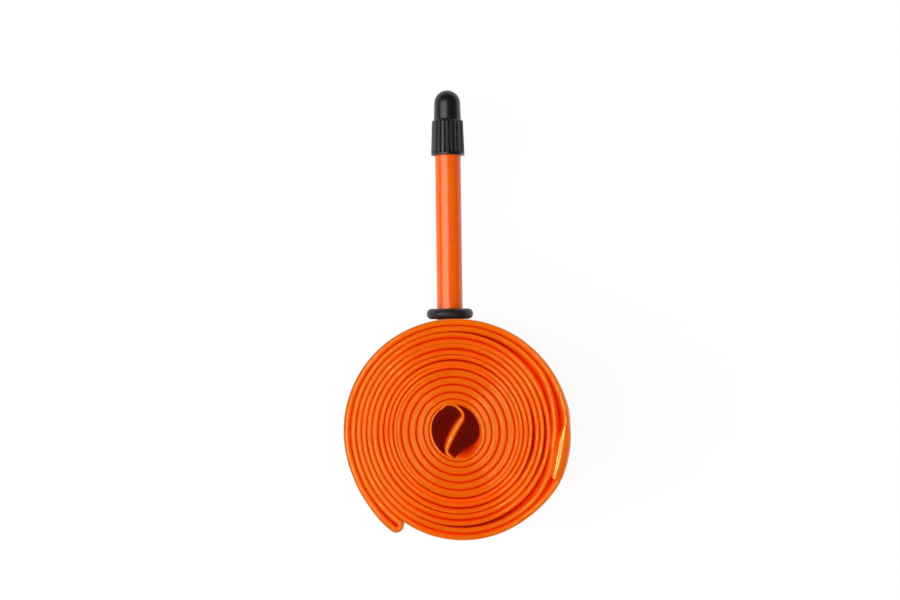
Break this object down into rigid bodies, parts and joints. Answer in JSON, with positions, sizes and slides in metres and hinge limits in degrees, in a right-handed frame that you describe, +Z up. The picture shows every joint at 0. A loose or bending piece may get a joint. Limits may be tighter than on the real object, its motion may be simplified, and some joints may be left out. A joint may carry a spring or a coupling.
{
  "type": "bicycle inner tube",
  "caption": "Rolled-up thin film bicycle inner tube with a smooth plastic valve stem, rim O-ring, removable valve core and ribbed dust cap.",
  "frame": {"origin": "centre of the whole object's footprint, on the surface that the roll stands on", "axes": "+Z up along the roll's axis, +Y along the valve towards the dust cap's tip"},
  "size_m": [0.05, 0.1016, 0.044],
  "materials": {
    "film": "glossy translucent film",
    "stem": "glossy moulded",
    "black_rubber": "satin",
    "black_plastic": "satin moulded",
    "brass": "machined",
    "nickel": "nickel plated"
  },
  "bodies": {
    "tube": {"tube_body": "film", "splice_overlap": "film", "valve_foot": "film", "valve_stem": "stem", "stem_thread_insert": "brass"},
    "rim_ring": {"rim_o_ring": "black_rubber"},
    "valve_core": {"core_barrel": "brass", "core_gasket": "black_rubber"},
    "core_needle": {"core_pin": "brass", "pin_seal": "black_rubber"},
    "core_nut": {"lock_nut": "nickel"},
    "cap": {"dust_cap": "black_plastic"}
  },
  "joints": [
    {"name": "o_ring_slide", "type": "slide", "parent": "tube", "child": "rim_ring", "axis": [0, 1, 0], "range_m": [0, 0.03]},
    {"name": "core_unscrew", "type": "slide", "parent": "tube", "child": "valve_core", "axis": [0, 1, 0], "range_m": [0, 0.018]},
    {"name": "nut_turn", "type": "hinge", "parent": "valve_core", "child": "core_nut", "pos_m": [-0.00125, 0.0443, 0.022], "axis": [0, 1, 0], "range_deg": [0, 1440]},
    {"name": "pin_travel", "type": "slide", "parent": "valve_core", "child": "core_needle", "axis": [0, 1, 0], "range_m": [-0.002, 0]},
    {"name": "cap_unscrew", "type": "slide", "parent": "valve_core", "child": "cap", "axis": [0, 1, 0], "range_m": [0, 0.022]}
  ],
  "couplings": [
    {"joint": "nut_turn", "follows": "pin_travel", "rad_per_m": -12560}
  ]
}
